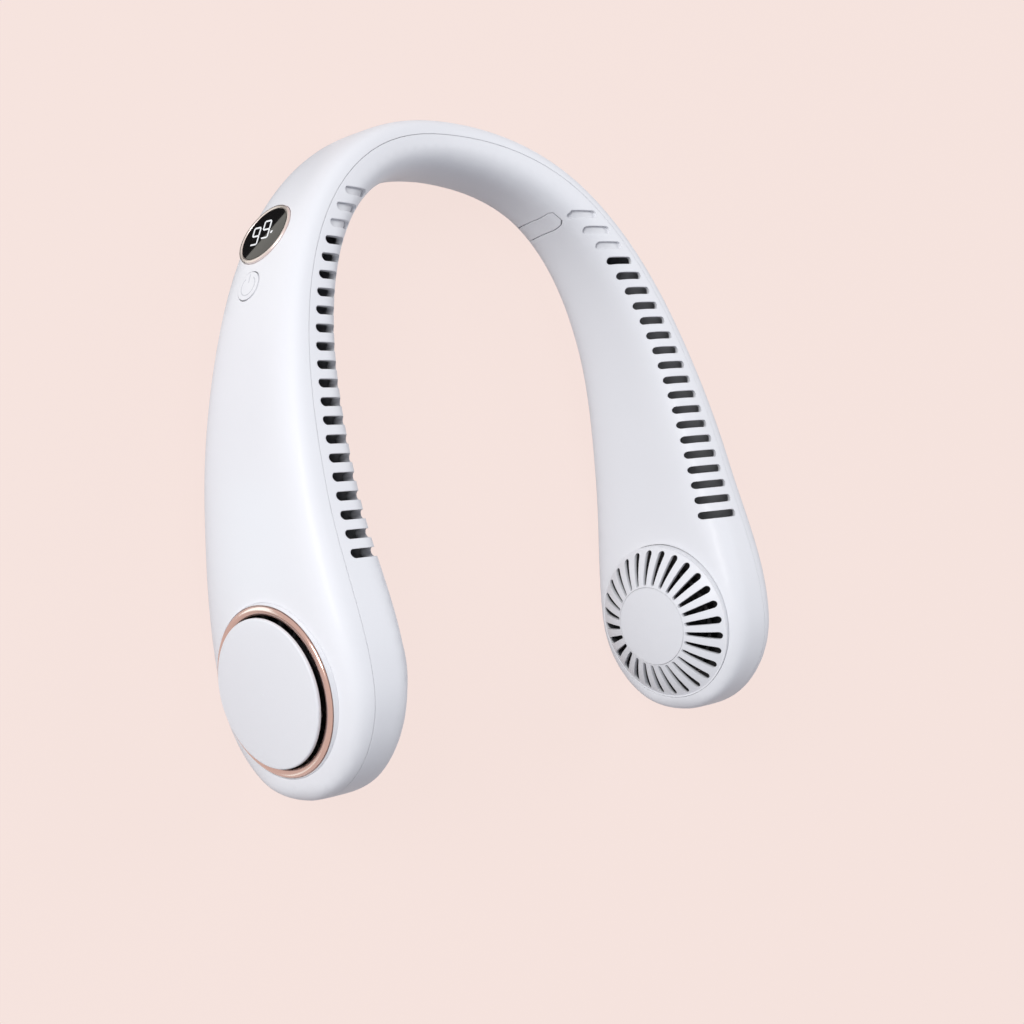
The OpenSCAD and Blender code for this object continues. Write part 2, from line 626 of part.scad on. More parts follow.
// how far the base ring stands out past the spiral at its widest
scroll_lip = 0.9;
scroll_grow = grille_r - scroll_lip - scroll_t - scroll_gap - fan_r;
scroll_turns = [70, 300];
scroll_steps = 40;
scroll_start = grille_sink + skirt_depth;
scroll_h = 10.2;
outlet_x = 26;
outlet_z = 3.4;
scroll_plate_t = 0.9;
function scroll_at(t, out) = let(a = mix(scroll_turns[0], scroll_turns[1], t),
    r = fan_r + scroll_gap + scroll_grow * t + out) [r * cos(a), r * sin(a)];
function spiral(out) = [for (i = [0 : scroll_steps]) scroll_at(i / scroll_steps, out)];
module scroll(side) color(black) fan_axis(side) translate([0, 0, scroll_start]) rotate(90) {
    linear_extrude(scroll_h) polygon(concat(spiral(0), flipped(spiral(scroll_t))));
    // straight walls of the outlet
    for (t = [0, 1]) let(p = scroll_at(t, scroll_t / 2))
        translate([p.x, min(scroll_at(t, 0).y, scroll_at(t, scroll_t).y), outlet_z])
            cube([outlet_x - p.x, scroll_t, scroll_h - outlet_z]);
    translate([0, 0, scroll_h - scroll_plate_t]) linear_extrude(scroll_plate_t) difference() {
        polygon(concat([[outlet_x, scroll_at(0, 0).y]], spiral(scroll_t / 2),
                       [[outlet_x, scroll_at(1, 0).y]]));
        circle(fan_r + scroll_gap / 2);
    }
    tube(grille_r - seat_gap, fan_r + scroll_gap / 2, scroll_plate_t);
}

// Bulkhead: the cavity's section as a plate
bulkhead_seam = seam_angle(bulkhead_at, half_t(bulkhead_at) - wall, seam_n(bulkhead_at));
module duct_bulkhead(side) color(white) on_path(side, bulkhead_at) rotate([90, 0, 90])
    translate([0, -mid_z(bulkhead_at), -bulkhead_t / 2]) linear_extrude(bulkhead_t)
        polygon([for (f = concat(outer_angles(cavity_steps),
                                 [for (g = inner_angles(cavity_steps)) if (g[1] == 0) g]))
            skin_2d(bulkhead_at, f[0] + f[1] * bulkhead_seam, wall + 2 * seat_gap)]);

// Cells and boards in the neck
cell_round = 2;
cell_n = -1.1;
module battery(side) color("lightsteelblue") on_path(side, cell_at)
    translate([0, cell_n + cell_t / 2, 0]) rotate([90, 0, 0])
        rounded_slab(cell_len, cell_h, cell_round, cell_t);
board_back = 1;
chip = [5, 5, 1];
board_n = half_t(0) - wall - board_back;
module at_board() translate([0, neck_reach + disc_y + board_n, mid_z(0)]) rotate([90, 0, 0]) children();
module main_board() color(board_green) at_board() {
    rounded_slab(board_len, board_h, board_t, board_t);
    for (up = [-1, 1]) translate([-chip.x / 2, up * board_h / 4 - chip.y / 2, board_t / 2])
        cube([chip.x, chip.y, board_t / 2 + chip.z]);
}

// Display and button on the left arm
bezel_proud = 0.3;
bezel_depth = 1.8;
window_proud = 0.2;
window_t = 1.3;
module at_display() on_skin(-1, display_at, display_turn) children();
module display_bezel() color(rose_gold) at_display() rotate_extrude()
    polygon([[bezel_r - bezel_w, -bezel_depth], [bezel_r, -bezel_depth], [bezel_r, 0],
             [bezel_r - bezel_w, bezel_proud]]);
module display_window() color(black) at_display() translate([0, 0, window_proud - window_t])
    cylinder(r = bezel_r - bezel_w, h = window_t);
module_t = 2.4;
module display_module() color([0.12, 0.12, 0.13]) at_display()
    translate([0, 0, window_proud - window_t - module_t]) cylinder(r = bezel_r - bezel_w, h = module_t);
// Two slanted figures of seven pointed bars in a thin layer on the window, read upwards
digit_t = 0.06;
digit_h = 6.2;
digit_w = 3;
bar_w = 0.55;
digit_step = [4.2, 1.3];
digit_slant = -16;
digits_turn = -8;
digits_shift = [-1.7, 0.7];
dot_shift = [3.1, -1.8];
function slanted(p) = [p.x + p.y * tan(digit_slant), p.y];
module bar(p, q) {
    along = (q - p) / norm(q - p);
    point = along * bar_w / 2;
    side = [-point.y, point.x];
    tips = [p, p + point + side, q - point + side, q, q - point - side, p + point - side];
    polygon([for (v = tips) slanted(v)]);
}
bars = [["a", [-1, 1], [1, 1]], ["b", [1, 1], [1, 0]], ["c", [1, 0], [1, -1]], ["d", [-1, -1], [1, -1]],
        ["e", [-1, -1], [-1, 0]], ["f", [-1, 0], [-1, 1]], ["g", [-1, 0], [1, 0]]];
module digit(lit) {
    corner = [digit_w, digit_h] / 2;
    for (b = bars) if (search(b[0], lit)) bar([b[1].x * corner.x, b[1].y * corner.y],
                                              [b[2].x * corner.x, b[2].y * corner.y]);
}
module display_digits() color("white") at_display() translate([0, 0, window_proud]) linear_extrude(digit_t)
    mirror([1, 1]) translate(digits_shift) {
        for (s = [-1, 1]) translate(s * digit_step / 2) rotate(digits_turn) digit("abcfgd");
        translate(digit_step / 2 + dot_shift) rotate(digits_turn) square(1.5 * bar_w, center = true);
    }
module at_button() on_skin(-1, button_at, button_turn) children();
flange_top = -wall - 2 * move_gap;
module power_button() color(white) at_button() {
    translate([0, 0, flange_top - flange_t / 2])
        cylinder(r = button_r, h = button_proud + flange_t / 2 - flange_top);
    translate([0, 0, flange_top - flange_t]) cylinder(r = flange_r, h = flange_t);
}
switch_top = flange_top - flange_t - button_travel - move_gap;
switch_size = 5;
module button_switch() color("dimgray") at_button() {
    translate([0, 0, switch_top - switch_h]) translate([-switch_size / 2, -switch_size / 2, 0])
        cube([switch_size, switch_size, switch_h * 3 / 4]);
    translate([0, 0, switch_top - switch_h / 2]) cylinder(r = switch_size / 4, h = switch_h / 2);
}
module switch_board() color(board_green) at_button() translate([0, 0, switch_top - switch_h - board_t])
    rounded_slab(switch_board_size.x, switch_board_size.y, board_t, board_t);

// Charging port on the right arm
module port_flap() color(white) flap_patch(0, 0, flap_t);
port_sink = 2.1;
shell_t = 0.3;
tongue = [6.7, 0.7];
module usb_socket() color("silver") on_skin(1, port_at, port_turn)
    translate([0, 0, -port_sink - socket_depth]) rotate([0, 0, 90]) {
        difference() {
            stadium(socket_w, socket_h, socket_depth);
            translate([0, 0, shell_t]) stadium(socket_w - 2 * shell_t, socket_h - 2 * shell_t, socket_depth);
        }
        translate([-tongue.x / 2, -tongue.y / 2, shell_t / 2])
            cube([tongue.x, tongue.y, socket_depth - 4 * shell_t]);
    }
charge_board_size = [11, 8.5];
module charge_board() color(board_green) on_skin(1, port_at, port_turn)
    translate([socket_h / 2, -charge_board_size.x / 2, -port_sink - board_t - charge_board_size.y])
        cube([board_t, charge_board_size.x, charge_board_size.y]);

outer_casing();
inner_casing();
intake_ring(-1);  // intake_ring_left
intake_ring(1);  // intake_ring_right
intake_cap(-1);  // intake_cap_left
intake_cap(1);  // intake_cap_right
intake_screen(-1);  // intake_screen_left
intake_screen(1);  // intake_screen_right
grille(-1);  // grille_left
grille(1);  // grille_right
grille_hub_cap(-1);  // grille_hub_cap_left
grille_hub_cap(1);  // grille_hub_cap_right
impeller(-1);  // impeller_left
impeller(1);  // impeller_right
rotor_magnet(-1);  // rotor_magnet_left
rotor_magnet(1);  // rotor_magnet_right
motor_shaft(-1);  // motor_shaft_left
motor_shaft(1);  // motor_shaft_right
bearing(-1);  // bearing_left
bearing(1);  // bearing_right
stator_core(-1);  // stator_core_left
stator_core(1);  // stator_core_right
stator_coils(-1);  // stator_coils_left
stator_coils(1);  // stator_coils_right
motor_base(-1);  // motor_base_left
motor_base(1);  // motor_base_right
motor_screws(-1);  // motor_screws_left
motor_screws(1);  // motor_screws_right
scroll(-1);  // scroll_left
scroll(1);  // scroll_right
duct_bulkhead(-1);  // duct_bulkhead_left
duct_bulkhead(1);  // duct_bulkhead_right
battery(-1);  // battery_left
battery(1);  // battery_right
main_board();
display_bezel();
display_window();
display_digits();
display_module();
power_button();
button_switch();
switch_board();
port_flap();
usb_socket();
charge_board();
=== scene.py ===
"""Looks of the electric neck fan: finishes, smooth skins, marks, studio and camera round the solids."""

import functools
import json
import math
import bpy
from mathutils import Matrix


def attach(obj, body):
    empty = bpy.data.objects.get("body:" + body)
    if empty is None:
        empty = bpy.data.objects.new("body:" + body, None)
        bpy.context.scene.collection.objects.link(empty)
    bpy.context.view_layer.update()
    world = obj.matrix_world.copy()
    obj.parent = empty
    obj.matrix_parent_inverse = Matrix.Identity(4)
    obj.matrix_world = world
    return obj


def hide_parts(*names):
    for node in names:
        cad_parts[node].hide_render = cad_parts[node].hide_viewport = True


bl_info = {
    "name": "Electric neck fan",
    "version": (1, 0, 0),
    "blender": (4, 5, 0),
    "location": "View3D > Sidebar > Neck fan",
    "description": "Finishes and studio for a U-shaped neck fan with a blower in each disc end",
    "category": "Add Mesh",
}

import bmesh
import bpy
from mathutils import Matrix, Vector
from mathutils.bvhtree import BVHTree

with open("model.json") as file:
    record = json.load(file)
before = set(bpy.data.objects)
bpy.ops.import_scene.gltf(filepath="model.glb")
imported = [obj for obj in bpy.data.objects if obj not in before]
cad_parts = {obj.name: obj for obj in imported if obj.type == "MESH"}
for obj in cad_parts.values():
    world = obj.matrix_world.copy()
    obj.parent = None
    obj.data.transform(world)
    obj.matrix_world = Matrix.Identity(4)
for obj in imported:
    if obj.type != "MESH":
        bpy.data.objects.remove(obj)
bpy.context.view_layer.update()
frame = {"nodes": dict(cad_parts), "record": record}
MM = 0.001
SIDES = {"left": -1, "right": 1}
# name, place and size across in metres, and power in watts of each softbox
LAMPS = (("Side", (-1.75, 0.65, 1.1), 0.9, 32.0),
         ("Top", (1.5, 0.7, 1.5), 1.2, 13.5))
# name, middle, turn in degrees, size and tone of each card on the floor, with places and sizes in
# millimetres: the first two meet in a line that crosses the display's reflection, and the left trim
# ring reflects the others
CARDS = (("Black card", (-58.08, 71.0), -16, (40, 70), (0, 0, 0)),
         ("Grey card", (-96.52, 82.0), -16, (40, 70), (1.25, 1.22, 1.12)),
         ("Cream card", (-127, -26), 0, (26, 42), (1.8, 2.15, 2.2)),
         ("Cream strip", (-125, -112), 0, (30, 10), (1.5, 1.7, 1.7)),
         ("Shade card", (-145, -66), 0, (44, 26), (0.5, 0.42, 0.4)))


# Settings that a user may change

class FormSettings(bpy.types.PropertyGroup):
    """Driving sizes of the housing, the same as in the solids."""

    neck_reach: bpy.props.FloatProperty(
        name="Neck reach", description="Disc centres to the centreline at the back of the neck",
        default=159.5 * MM, unit="LENGTH")
    disc_span: bpy.props.FloatProperty(
        name="Disc span", description="Between the arm centrelines at the disc centres",
        default=169 * MM, unit="LENGTH")
    disc_d: bpy.props.FloatProperty(
        name="Disc diameter", description="Diameter of each disc end", default=62 * MM, unit="LENGTH")
    neck_h: bpy.props.FloatProperty(
        name="Neck height", description="Height of the housing at the back of the neck",
        default=27.5 * MM, unit="LENGTH")
    neck_t: bpy.props.FloatProperty(
        name="Neck thickness", description="Thickness of the housing at the back of the neck",
        default=17 * MM, unit="LENGTH")
    disc_t: bpy.props.FloatProperty(
        name="Disc thickness", description="Thickness of the housing through a disc centre",
        default=25 * MM, unit="LENGTH")
    arm_lift: bpy.props.FloatProperty(
        name="Arm lift", description="How far the underside of each arm arches up",
        default=5.8 * MM, unit="LENGTH")
    face_tilt: bpy.props.FloatProperty(
        name="Face tilt", description="Tilt of both disc faces towards the tip",
        default=math.radians(6.4), subtype="ANGLE")
    tip_round: bpy.props.FloatProperty(
        name="Tip rounding", description="Rounding of both disc faces into the tip",
        default=5 * MM, unit="LENGTH")
    wall: bpy.props.FloatProperty(
        name="Wall", description="Wall of both casings", default=1.8 * MM, unit="LENGTH")


class FinishSettings(bpy.types.PropertyGroup):
    """Colours of the finishes."""

    white: bpy.props.FloatVectorProperty(
        name="Housing white", description="Moulded housing", subtype="COLOR", size=3,
        default=(0.89, 0.895, 0.92), min=0, max=1)
    # painted shade: the dark that the white turns to at the bottom of openings, standing in for the shade
    # there
    painted_depth_shade: bpy.props.FloatVectorProperty(
        name="Painted depth shade", description="Housing white at the bottom of an opening", subtype="COLOR", size=3,
        default=(0.1, 0.1, 0.11), min=0, max=1)
    rose_gold: bpy.props.FloatVectorProperty(
        name="Rose gold", description="Trim rings", subtype="COLOR", size=3,
        default=(0.66, 0.5, 0.45), min=0, max=1)
    pale_trim: bpy.props.FloatVectorProperty(
        name="Pale trim", description="Trim ring of the display", subtype="COLOR", size=3,
        default=(0.78, 0.72, 0.71), min=0, max=1)
    # painted shade: grey given to the inner faces of the white casings, standing in for the dim inside of the
    # housing
    shade_grey_inside: bpy.props.FloatVectorProperty(
        name="Painted inside shade", description="Inside of the housing", subtype="COLOR", size=3,
        default=(0.34, 0.34, 0.36), min=0, max=1)
    mark_grey: bpy.props.FloatVectorProperty(
        name="Printed mark", description="Power symbol on the button", subtype="COLOR", size=3,
        default=(0.68, 0.69, 0.72), min=0, max=1)
    figures: bpy.props.FloatVectorProperty(
        name="Lit figures", description="Figures of the display", subtype="COLOR", size=3,
        default=(0.95, 0.97, 1.0), min=0, max=1)
    edge_radius: bpy.props.FloatProperty(
        name="Edge radius", description="Softness of moulded edges", default=0.3 * MM, unit="LENGTH")


class StageSettings(bpy.types.PropertyGroup):
    """Camera, floor and light."""

    backdrop: bpy.props.FloatVectorProperty(
        name="Backdrop", description="Colour of the floor and backdrop", subtype="COLOR", size=3,
        default=(0.93, 0.776, 0.73), min=0, max=1)
    lens: bpy.props.FloatProperty(
        name="Lens", description="Focal length on a 36 mm sensor, in millimetres", default=59.03)
    eye: bpy.props.FloatVectorProperty(
        name="Eye", description="Place of the camera", size=3, subtype="TRANSLATION",
        default=(-378.83 * MM, -32.54 * MM, 394.09 * MM))
    sight: bpy.props.FloatVectorProperty(
        name="Sight", description="Direction from the object to the camera", size=3, subtype="DIRECTION",
        default=(-0.72469, -0.01237, 0.68896))
    upright: bpy.props.FloatVectorProperty(
        name="Upright", description="Direction that points up in the picture", size=3, subtype="DIRECTION",
        default=(0.06402, 0.99431, 0.08519))


def settings(name):
    return getattr(bpy.context.scene, "neck_fan_" + name)


# The housing's swept form, as in the solids

NECK_PULL_SHARE = 0.57
SHOULDER_SHARES = (1.16, 0.82)
ARM_PULL_SHARE = 0.18
HEIGHT_SHARES = (0, 0, 0.246, 0.636, 1)
THICK_SHARES = (0, -0.06, 0.32, 0.91, 1)
LIFT_SHARES = (0, 1, 0.98, 0.41, 0)
OUTER_POWERS = (4, 4.2)
INNER_POWERS = (2.2, 5)
PATH_STEPS = 384
# how small a step along and round the housing its slopes are taken over
SLOPE_STEPS = 1000
SLOPE_DEGREES = 1


def mix(a, b, t):
    return a + (b - a) * t


def smooth_run(values, m0, m1, s):
    """Smooth run through evenly spaced values, with the slopes m0 and m1 at its ends."""
    c = len(values) - 1
    x = min(max(s, 0), 1) * c
    i = min(int(x), c - 1)
    u = x - i
    a = m0 / c if i == 0 else (values[i + 1] - values[i - 1]) / 2
    b = m1 / c if i == c - 1 else (values[i + 2] - values[i]) / 2
    return ((values[i] * (1 + 2 * u) + a * u) * (1 - u) ** 2
            + (values[i + 1] * (3 - 2 * u) - b * (1 - u)) * u * u)


def bezier(points, t):
    """Point of a curve with any number of pulls, at the share t of each step between them."""
    while len(points) > 1:
        points = [p.lerp(q, t) for p, q in zip(points, points[1:])]
    return points[0]


class Housing:
    """Points and directions on the housing, by the way along its centreline from the middle of the neck."""

    def __init__(self, form):
        self.form = form
        self.disc_r = form.disc_d / 2
        self.half_span = form.disc_span / 2
        self.disc_y = -(form.neck_reach + form.neck_t / 2 - self.disc_r) / 2
        half, reach = self.half_span, form.neck_reach
        pulls = [Vector((0, reach)), Vector((NECK_PULL_SHARE * half, reach)),
                 Vector((SHOULDER_SHARES[0] * half, SHOULDER_SHARES[1] * reach)),
                 Vector((half, ARM_PULL_SHARE * reach)), Vector((half, 0))]
        self.path = [bezier(pulls, i / PATH_STEPS) for i in range(PATH_STEPS + 1)]
        self.lengths = [0.0]
        for p, q in zip(self.path, self.path[1:]):
            self.lengths.append(self.lengths[-1] + (q - p).length)
        self.arm_len = self.lengths[-1]

    def spot(self, along):
        """Place and direction of the centreline, which runs straight on past the disc's centre."""
        if along >= self.arm_len:
            ahead = (self.path[-1] - self.path[-2]).normalized()
            return self.path[-1] + ahead * (along - self.arm_len), ahead
        low, high = 0, PATH_STEPS
        while high - low > 1:
            mid = (low + high) // 2
            low, high = (mid, high) if self.lengths[mid] <= along else (low, mid)
        u = (along - self.lengths[low]) / (self.lengths[high] - self.lengths[low])
        behind = self.path[max(low - 1, 0)]
        ahead = self.path[min(high + 1, PATH_STEPS)]
        return self.path[low].lerp(self.path[high], u), (ahead - behind).normalized()

    def half_h(self, along):
        f = self.form
        if along < self.arm_len:
            return mix(f.neck_h, f.disc_d, smooth_run(HEIGHT_SHARES, 0, 0, along / self.arm_len)) / 2
        return math.sqrt(max(self.disc_r ** 2 - (along - self.arm_len) ** 2, 0))

    def half_t(self, along):
        f, fall = self.form, math.tan(self.form.face_tilt)
        shares = [mix(f.neck_t, f.disc_t, s) / 2 for s in THICK_SHARES]
        body = smooth_run(shares, 0, -fall * self.arm_len, min(along / self.arm_len, 1))
        return body - fall * max(along - self.arm_len, 0)

    def tip_fall(self, along):
        """How much thinner the rounding of the tip leaves the arm."""
        r = self.form.tip_round
        u = min(max((along - self.arm_len - self.disc_r) / r + 1, 0), 1)
        return r * (1 - math.sqrt(1 - u * u))

    def mid_z(self, along):
        lift = smooth_run(LIFT_SHARES, 0, 0, min(along / self.arm_len, 1))
        return self.half_h(min(along, self.arm_len)) + self.form.arm_lift * lift

    def skin(self, along, angle):
        """Point on the surface: a negative way along is on the left arm, angle 0 is outwards, 90 is up."""
        way, side = abs(along), -1 if along < 0 else 1
        c, s = math.cos(math.radians(angle)), math.sin(math.radians(angle))
        share = min(way / self.arm_len, 1)
        power = mix(*OUTER_POWERS, share) if c >= 0 else mix(*INNER_POWERS, share)
        out = math.copysign((self.half_t(way) - self.tip_fall(way)) * abs(c) ** (2 / power), c)
        z = self.mid_z(way) + math.copysign(self.half_h(way) * abs(s) ** (2 / power), s)
        p, d = self.spot(way)
        return Vector((side * (p.x - d.y * out), p.y + d.x * out + self.disc_y, z))

    def patch_frame(self, along, angle):
        """Matrix with x towards the disc and z out of the housing, on the right arm's outer side."""
        step = self.arm_len / SLOPE_STEPS
        x = (self.skin(along + step, angle) - self.skin(along - step, angle)).normalized()
        upwards = self.skin(along, angle + SLOPE_DEGREES) - self.skin(along, angle - SLOPE_DEGREES)
        z = upwards.cross(x).normalized()
        y = z.cross(x)
        at = self.skin(along, angle)
        return Matrix(((x.x, y.x, z.x, at.x), (x.y, y.y, z.y, at.y), (x.z, y.z, z.z, at.z), (0, 0, 0, 1)))


def mirror_if_left(side):
    return Matrix.Diagonal((side, 1, 1, 1))


# Mesh helpers

KEPT = "kept_normal"
# corners nearer than these are joined, in a solid's loose triangles and in a new shape
CORNER_GAP = 0.5e-6
POLE_GAP = 1e-7
LATHE_STEPS = 128
SHARP_EDGE = math.radians(35)


def new_piece(name, bm, body, material, replaced=()):
    """Makes an object of a bmesh, lets it ride on a body and gives it its finish."""
    mesh = bpy.data.meshes.new(name)
    bm.to_mesh(mesh)
    bm.free()
    restore_normals(mesh)
    piece = bpy.data.objects.new(name, mesh)
    bpy.context.scene.collection.objects.link(piece)
    mesh.materials.append(material)
    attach(piece, body)
    if replaced:
        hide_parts(*replaced)
    return piece


def merged_copy(node):
    """A bmesh of a CAD node with its corners joined, which keeps the true normal of every corner."""
    source = frame["nodes"][node].data
    bm = bmesh.new()
    bm.from_mesh(source)
    kept = bm.loops.layers.float_vector.new(KEPT)
    for polygon, face in zip(source.polygons, bm.faces):
        face.smooth = True
        for corner, loop in zip(polygon.loop_indices, face.loops):
            loop[kept] = source.corner_normals[corner].vector
    bmesh.ops.remove_doubles(bm, verts=bm.verts, dist=CORNER_GAP)
    return bm


def restore_normals(mesh):
    """Sets the kept normals, in place of those that the joined corners have left without meaning."""
    if KEPT not in mesh.attributes:
        return
    normals = [item.vector.copy() for item in mesh.attributes[KEPT].data]
    for name in (KEPT, "custom_normal", "sharp_edge"):
        if name in mesh.attributes:
            mesh.attributes.remove(mesh.attributes[name])
    mesh.normals_split_custom_set(normals)


def dress(node, material):
    """Gives a CAD node its material, the mesh staying as it is."""
    mesh = frame["nodes"][node].data
    mesh.materials.clear()
    mesh.materials.append(material)


def lathe(profile, place):
    """A closed bmesh turned from points (radius, height), in its place; points on the axis are poles."""
    bm = bmesh.new()
    verts = [bm.verts.new((r, 0, z)) for r, z in profile]
    edges = [bm.edges.new(pair) for pair in zip(verts, verts[1:])]
    if profile[0][0] > 0 or profile[-1][0] > 0:
        edges.append(bm.edges.new((verts[-1], verts[0])))
    bmesh.ops.spin(bm, geom=verts + edges, cent=(0, 0, 0), axis=(0, 0, 1), angle=math.tau,
                   steps=LATHE_STEPS, use_merge=True, use_duplicate=False)
    bmesh.ops.remove_doubles(bm, verts=bm.verts, dist=POLE_GAP)
    bmesh.ops.transform(bm, matrix=place, verts=bm.verts)
    bmesh.ops.recalc_face_normals(bm, faces=bm.faces)
    for face in bm.faces:
        face.smooth = True
    for edge in bm.edges:
        edge.smooth = edge.calc_face_angle(0) < SHARP_EDGE
    return bm


def node_skin(node, body, material):
    """A piece in a CAD node's own shape, which stands for it."""
    return new_piece(node + "_skin", merged_copy(node), body, material, (node,))


class SweptForm:
    """The smooth swept form as a fine mesh that pieces take their surface and normals from."""

    rows = 420
    columns = 128
    # the last row stops just short of a quarter turn, where the tip would have no height
    last_turn = 1.5705
    # a face lies on the form when its corners are this near and it faces the same way by this share
    reach = 0.3 * MM
    alike_share = 0.75
    # keeps the weight of a corner finite that the nearest point lies on
    corner_gap = 1e-5

    def __init__(self, house):
        self.bm = bmesh.new()
        bmesh.ops.create_grid(self.bm, x_segments=self.rows, y_segments=self.columns, size=1)
        arm_share = house.arm_len / (house.arm_len + house.disc_r)
        for v in self.bm.verts:
            u, turn = abs(v.co.x), v.co.y * 180
            if u <= arm_share:
                along = house.arm_len * u / arm_share
            else:
                quarter = (u - arm_share) / (1 - arm_share) * math.pi / 2
                along = house.arm_len + house.disc_r * math.sin(min(quarter, self.last_turn))
            v.co = house.skin(math.copysign(along, v.co.x), turn)
        bmesh.ops.remove_doubles(self.bm, verts=self.bm.verts, dist=POLE_GAP)
        bmesh.ops.recalc_face_normals(self.bm, faces=self.bm.faces)
        self.bm.normal_update()
        self.bm.faces.ensure_lookup_table()
        self.tree = BVHTree.FromBMesh(self.bm)

    def nearest(self, point):
        """Nearest point of the form, its smooth normal and the distance."""
        at, _, index, distance = self.tree.find_nearest(point)
        normal = Vector()
        for v in self.bm.faces[index].verts:
            normal += v.normal / ((v.co - at).length + self.corner_gap)
        return at, normal.normalized(), distance

    def near(self, bm):
        """What nearest says of each corner."""
        return {v: self.nearest(v.co) for v in bm.verts}

    def skin_faces(self, bm, near):
        """Faces that lie on the form and face outwards."""
        bm.normal_update()
        return {f for f in bm.faces
                if all(near[v][2] < self.reach for v in f.verts)
                and f.normal.dot(near[f.verts[0]][1]) > self.alike_share}

    def keep_normals(self, bm):
        """Gives the faces on the form its own normals, in a piece that keeps its shape."""
        near = self.near(bm)
        kept = bm.loops.layers.float_vector[KEPT]
        for face in self.skin_faces(bm, near):
            for loop in face.loops:
                loop[kept] = near[loop.vert][1]


@functools.cache
def swept_form():
    return SweptForm(Housing(settings("form")))


# Materials

# how steeply the painted shade darkens the white towards the bottom of an opening
DEPTH_POWER = 3.0


def toned(color, share):
    return [c * share for c in color]


def moulded_group():
    """Fine moulded grain: a drifting tint, an uneven gloss and a shallow grain."""
    name = "Moulded surface"
    if name in bpy.data.node_groups:
        return bpy.data.node_groups[name]
    group = bpy.data.node_groups.new(name, "ShaderNodeTree")
    face = group.interface
    for label, kind, default in (("Color", "NodeSocketColor", (1, 1, 1, 1)),
                                 ("Tint", "NodeSocketColor", (1, 1, 1, 1)),
                                 ("Grain scale", "NodeSocketFloat", 900.0),
                                 ("Roughness", "NodeSocketFloat", 0.4),
                                 ("Unevenness", "NodeSocketFloat", 0.06)):
        face.new_socket(name=label, in_out="INPUT", socket_type=kind).default_value = default
    for label, kind in (("Color", "NodeSocketColor"), ("Roughness", "NodeSocketFloat"),
                        ("Height", "NodeSocketFloat")):
        face.new_socket(name=label, in_out="OUTPUT", socket_type=kind)
    nodes, link = group.nodes, group.links.new
    given = nodes.new("NodeGroupInput")
    result = nodes.new("NodeGroupOutput")
    place = nodes.new("ShaderNodeTexCoord")
    drift = nodes.new("ShaderNodeTexNoise")
    drift.inputs["Scale"].default_value = 35.0
    drift.inputs["Detail"].default_value = 3.0
    link(place.outputs["Object"], drift.inputs["Vector"])
    tint = nodes.new("ShaderNodeMix")
    tint.data_type = "RGBA"
    link(drift.outputs["Fac"], tint.inputs["Factor"])
    link(given.outputs["Color"], tint.inputs["A"])
    link(given.outputs["Tint"], tint.inputs["B"])
    link(tint.outputs["Result"], result.inputs["Color"])
    grain = nodes.new("ShaderNodeTexNoise")
    grain.inputs["Detail"].default_value = 4.0
    link(place.outputs["Object"], grain.inputs["Vector"])
    link(given.outputs["Grain scale"], grain.inputs["Scale"])
    uneven = nodes.new("ShaderNodeMath")
    uneven.operation = "MULTIPLY_ADD"
    link(drift.outputs["Fac"], uneven.inputs[0])
    link(given.outputs["Unevenness"], uneven.inputs[1])
    link(given.outputs["Roughness"], uneven.inputs[2])
    link(uneven.outputs[0], result.inputs["Roughness"])
    link(grain.outputs["Fac"], result.inputs["Height"])
    return group


def moulded(name, color, tint=None, roughness=0.4, unevenness=0.06, grain=900.0, depth=0.01 * MM,
            metallic=0.0, coat=0.0, edge=True):
    """A material on the moulded surface group, with softened edges where edge is set."""
    if name in bpy.data.materials:
        return bpy.data.materials[name]
    material = bpy.data.materials.new(name)
    material.use_nodes = True
    nodes, link = material.node_tree.nodes, material.node_tree.links.new
    shader = nodes["Principled BSDF"]
    surface = nodes.new("ShaderNodeGroup")
    surface.node_tree = moulded_group()
    surface.inputs["Color"].default_value = (*color, 1)
    surface.inputs["Tint"].default_value = (*(tint or toned(color, 0.97)), 1)
    surface.inputs["Grain scale"].default_value = grain
    surface.inputs["Roughness"].default_value = roughness
    surface.inputs["Unevenness"].default_value = unevenness
    link(surface.outputs["Color"], shader.inputs["Base Color"])
    link(surface.outputs["Roughness"], shader.inputs["Roughness"])
    bump = nodes.new("ShaderNodeBump")
    bump.inputs["Distance"].default_value = depth
    bump.inputs["Strength"].default_value = 1.0
    link(surface.outputs["Height"], bump.inputs["Height"])
    if edge:
        soft = nodes.new("ShaderNodeBevel")
        soft.samples = 4
        soft.inputs["Radius"].default_value = settings("finish").edge_radius
        link(soft.outputs["Normal"], bump.inputs["Normal"])
    link(bump.outputs["Normal"], shader.inputs["Normal"])
    shader.inputs["Metallic"].default_value = metallic
    shader.inputs["Coat Weight"].default_value = coat
    shader.inputs["Coat Roughness"].default_value = 0.12
    return material


